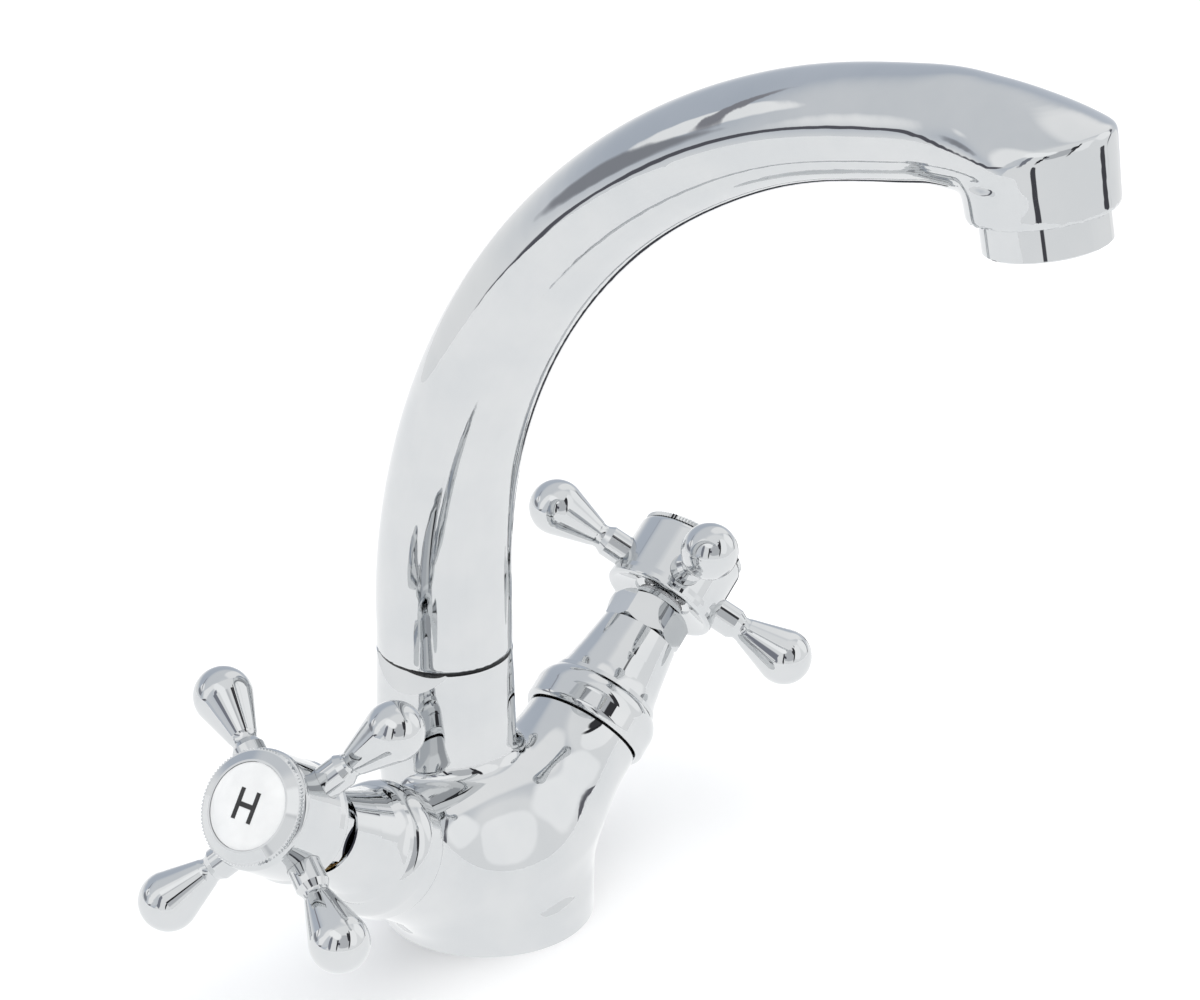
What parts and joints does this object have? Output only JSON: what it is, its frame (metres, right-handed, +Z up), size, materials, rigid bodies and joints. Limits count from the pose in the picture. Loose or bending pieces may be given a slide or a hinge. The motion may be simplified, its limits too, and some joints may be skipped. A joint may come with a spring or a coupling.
{
  "type": "bathroom mixer faucet",
  "caption": "Deck-mounted basin mixer with a round domed base, a swivelling swan-neck spout and cross-handle hot and cold valves on slanted arms.",
  "frame": {"origin": "centre of the round base on the deck plane", "axes": "+Z up out of the deck, spout reaches towards -Y at rest, hot handle on -X, cold handle on +X"},
  "size_m": [0.1692, 0.1727, 0.2113],
  "materials": {
    "chrome": "mirror-polished chrome plating on brass",
    "brass": "machined brass",
    "stainless": "bright stainless steel",
    "rubber": "black nitrile rubber",
    "fibre": "dark grey vulcanised fibre",
    "nylon": "white acetal",
    "black_acetal": "black acetal",
    "valve_ceramic": "lapped alumina",
    "porcelain": "white glazed porcelain",
    "letter_black": "black enamel infill"
  },
  "bodies": {
    "base": {"body": "chrome", "base_seal": "rubber", "spout_bearing_ring": "black_acetal", "spout_grub_screw": "stainless", "hot_seat_washer": "rubber", "hot_fixed_disc": "valve_ceramic", "hot_cartridge_body": "brass", "hot_cartridge_washer": "fibre", "hot_shroud": "chrome", "hot_shroud_nut": "chrome", "cold_seat_washer": "rubber", "cold_fixed_disc": "valve_ceramic", "cold_cartridge_body": "brass", "cold_cartridge_washer": "fibre", "cold_shroud": "chrome", "cold_shroud_nut": "chrome"},
    "hot_handle": {"hot_spindle": "brass", "hot_spindle_seals": "rubber", "hot_circlip": "stainless", "hot_moving_disc": "valve_ceramic", "hot_hub": "chrome", "hot_lever_1": "chrome", "hot_lever_2": "chrome", "hot_lever_3": "chrome", "hot_lever_4": "chrome", "hot_handle_screw": "stainless", "hot_index_cap": "chrome", "hot_index_disc": "porcelain", "hot_index_letter": "letter_black"},
    "cold_handle": {"cold_spindle": "brass", "cold_spindle_seals": "rubber", "cold_circlip": "stainless", "cold_moving_disc": "valve_ceramic", "cold_hub": "chrome", "cold_lever_1": "chrome", "cold_lever_2": "chrome", "cold_lever_3": "chrome", "cold_lever_4": "chrome", "cold_handle_screw": "stainless", "cold_index_cap": "chrome", "cold_index_disc": "porcelain", "cold_index_letter": "letter_black"},
    "spout": {"spout": "chrome", "spout_seals": "rubber", "aerator_housing": "chrome", "aerator_insert": "nylon", "aerator_screen": "stainless", "aerator_washer": "rubber"}
  },
  "joints": [
    {"name": "spout_swivel", "type": "hinge", "parent": "base", "child": "spout", "pos_m": [0, 0.0107, 0.0587], "axis": [0, 0, 1], "continuous": true},
    {"name": "hot_valve", "type": "hinge", "parent": "base", "child": "hot_handle", "pos_m": [0, 0, 0.00397], "axis": [-0.8153, 0, 0.5791], "range_deg": [0, 90]},
    {"name": "cold_valve", "type": "hinge", "parent": "base", "child": "cold_handle", "pos_m": [0, 0, 0.00397], "axis": [-0.8153, 0, -0.5791], "range_deg": [0, 90]}
  ]
}
